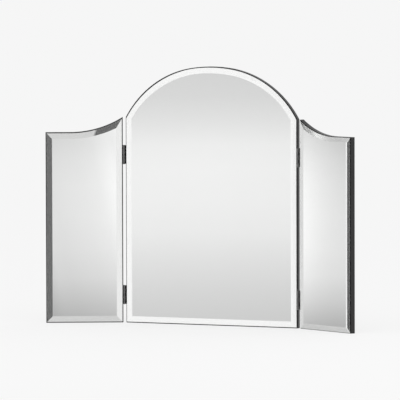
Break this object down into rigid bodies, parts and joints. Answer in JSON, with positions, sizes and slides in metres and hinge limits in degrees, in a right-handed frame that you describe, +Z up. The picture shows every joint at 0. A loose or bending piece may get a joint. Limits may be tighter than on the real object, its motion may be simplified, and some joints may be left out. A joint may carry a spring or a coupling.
{
  "type": "dressing table mirror",
  "caption": "Free-standing folding mirror: an arched bevelled centre panel with narrower bevelled wings hinged to its sides, each pane on a black board.",
  "frame": {"origin": "centre of the centre board's bottom face, on the table top", "axes": "+X to the right of a person facing the mirror, +Y from the mirror face to its back, +Z up"},
  "size_m": [0.7162, 0.0882, 0.5494],
  "materials": {
    "board": "fibreboard painted satin black",
    "mirror": "silvered float glass with a polished bevel",
    "tape": "white closed-cell foam tape",
    "hinge": "black coated steel",
    "pin": "black coated steel",
    "screw": "black oxide steel"
  },
  "bodies": {
    "centre_panel": {"centre_board": "board", "centre_tape": "tape", "centre_mirror_pane": "mirror", "centre_hinge_screws": "screw", "left_lower_hinge_centre_leaf": "hinge", "left_lower_hinge_pin": "pin", "left_upper_hinge_centre_leaf": "hinge", "left_upper_hinge_pin": "pin", "right_lower_hinge_centre_leaf": "hinge", "right_lower_hinge_pin": "pin", "right_upper_hinge_centre_leaf": "hinge", "right_upper_hinge_pin": "pin"},
    "left_wing": {"left_wing_board": "board", "left_wing_tape": "tape", "left_wing_mirror_pane": "mirror", "left_wing_hinge_screws": "screw", "left_lower_hinge_wing_leaf": "hinge", "left_upper_hinge_wing_leaf": "hinge"},
    "right_wing": {"right_wing_board": "board", "right_wing_tape": "tape", "right_wing_mirror_pane": "mirror", "right_wing_hinge_screws": "screw", "right_lower_hinge_wing_leaf": "hinge", "right_upper_hinge_wing_leaf": "hinge"}
  },
  "joints": [
    {"name": "left_wing_hinge", "type": "hinge", "parent": "centre_panel", "child": "left_wing", "pos_m": [-0.20225, -0.01, 0], "axis": [0, 0, 1], "range_deg": [-27, 153]},
    {"name": "right_wing_hinge", "type": "hinge", "parent": "centre_panel", "child": "right_wing", "pos_m": [0.20225, -0.01, 0], "axis": [0, 0, -1], "range_deg": [-27, 153]}
  ]
}
